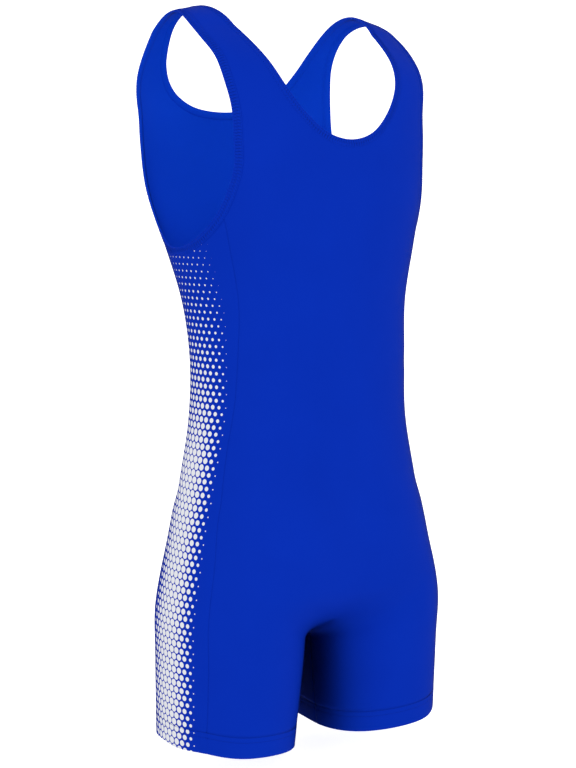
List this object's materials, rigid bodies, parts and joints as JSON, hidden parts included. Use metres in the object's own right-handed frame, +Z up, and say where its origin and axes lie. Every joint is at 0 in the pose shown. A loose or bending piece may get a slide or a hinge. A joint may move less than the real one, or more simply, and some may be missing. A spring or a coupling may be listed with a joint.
{
  "type": "athletic singlet",
  "caption": "Close-fitting one-piece knit singlet with scooped neck, deep armholes and mid-thigh legs, held in its worn, filled-out form.",
  "frame": {"origin": "on the middle plane between the two shoulder seams, where a wearer's shoulders carry the straps", "axes": "+Z up from the legs to the straps, -Y to the wearer's front, +X to the wearer's left"},
  "size_m": [0.3746, 0.2826, 0.8745],
  "materials": {
    "panel_knit": "smooth stretch knit, satin",
    "side_knit": "smooth stretch knit, satin, with a printed white dot fade",
    "edge_knit": "turned knit edge with cover stitching",
    "hem_knit": "turned knit hem with two rows of stitching"
  },
  "bodies": {
    "root": {"front": "panel_knit", "back": "panel_knit", "side_panel_right": "side_knit", "side_panel_left": "side_knit", "neck_band": "edge_knit", "armhole_band_right": "edge_knit", "armhole_band_left": "edge_knit", "leg_band_right": "hem_knit", "leg_band_left": "hem_knit"}
  },
  "joints": []
}
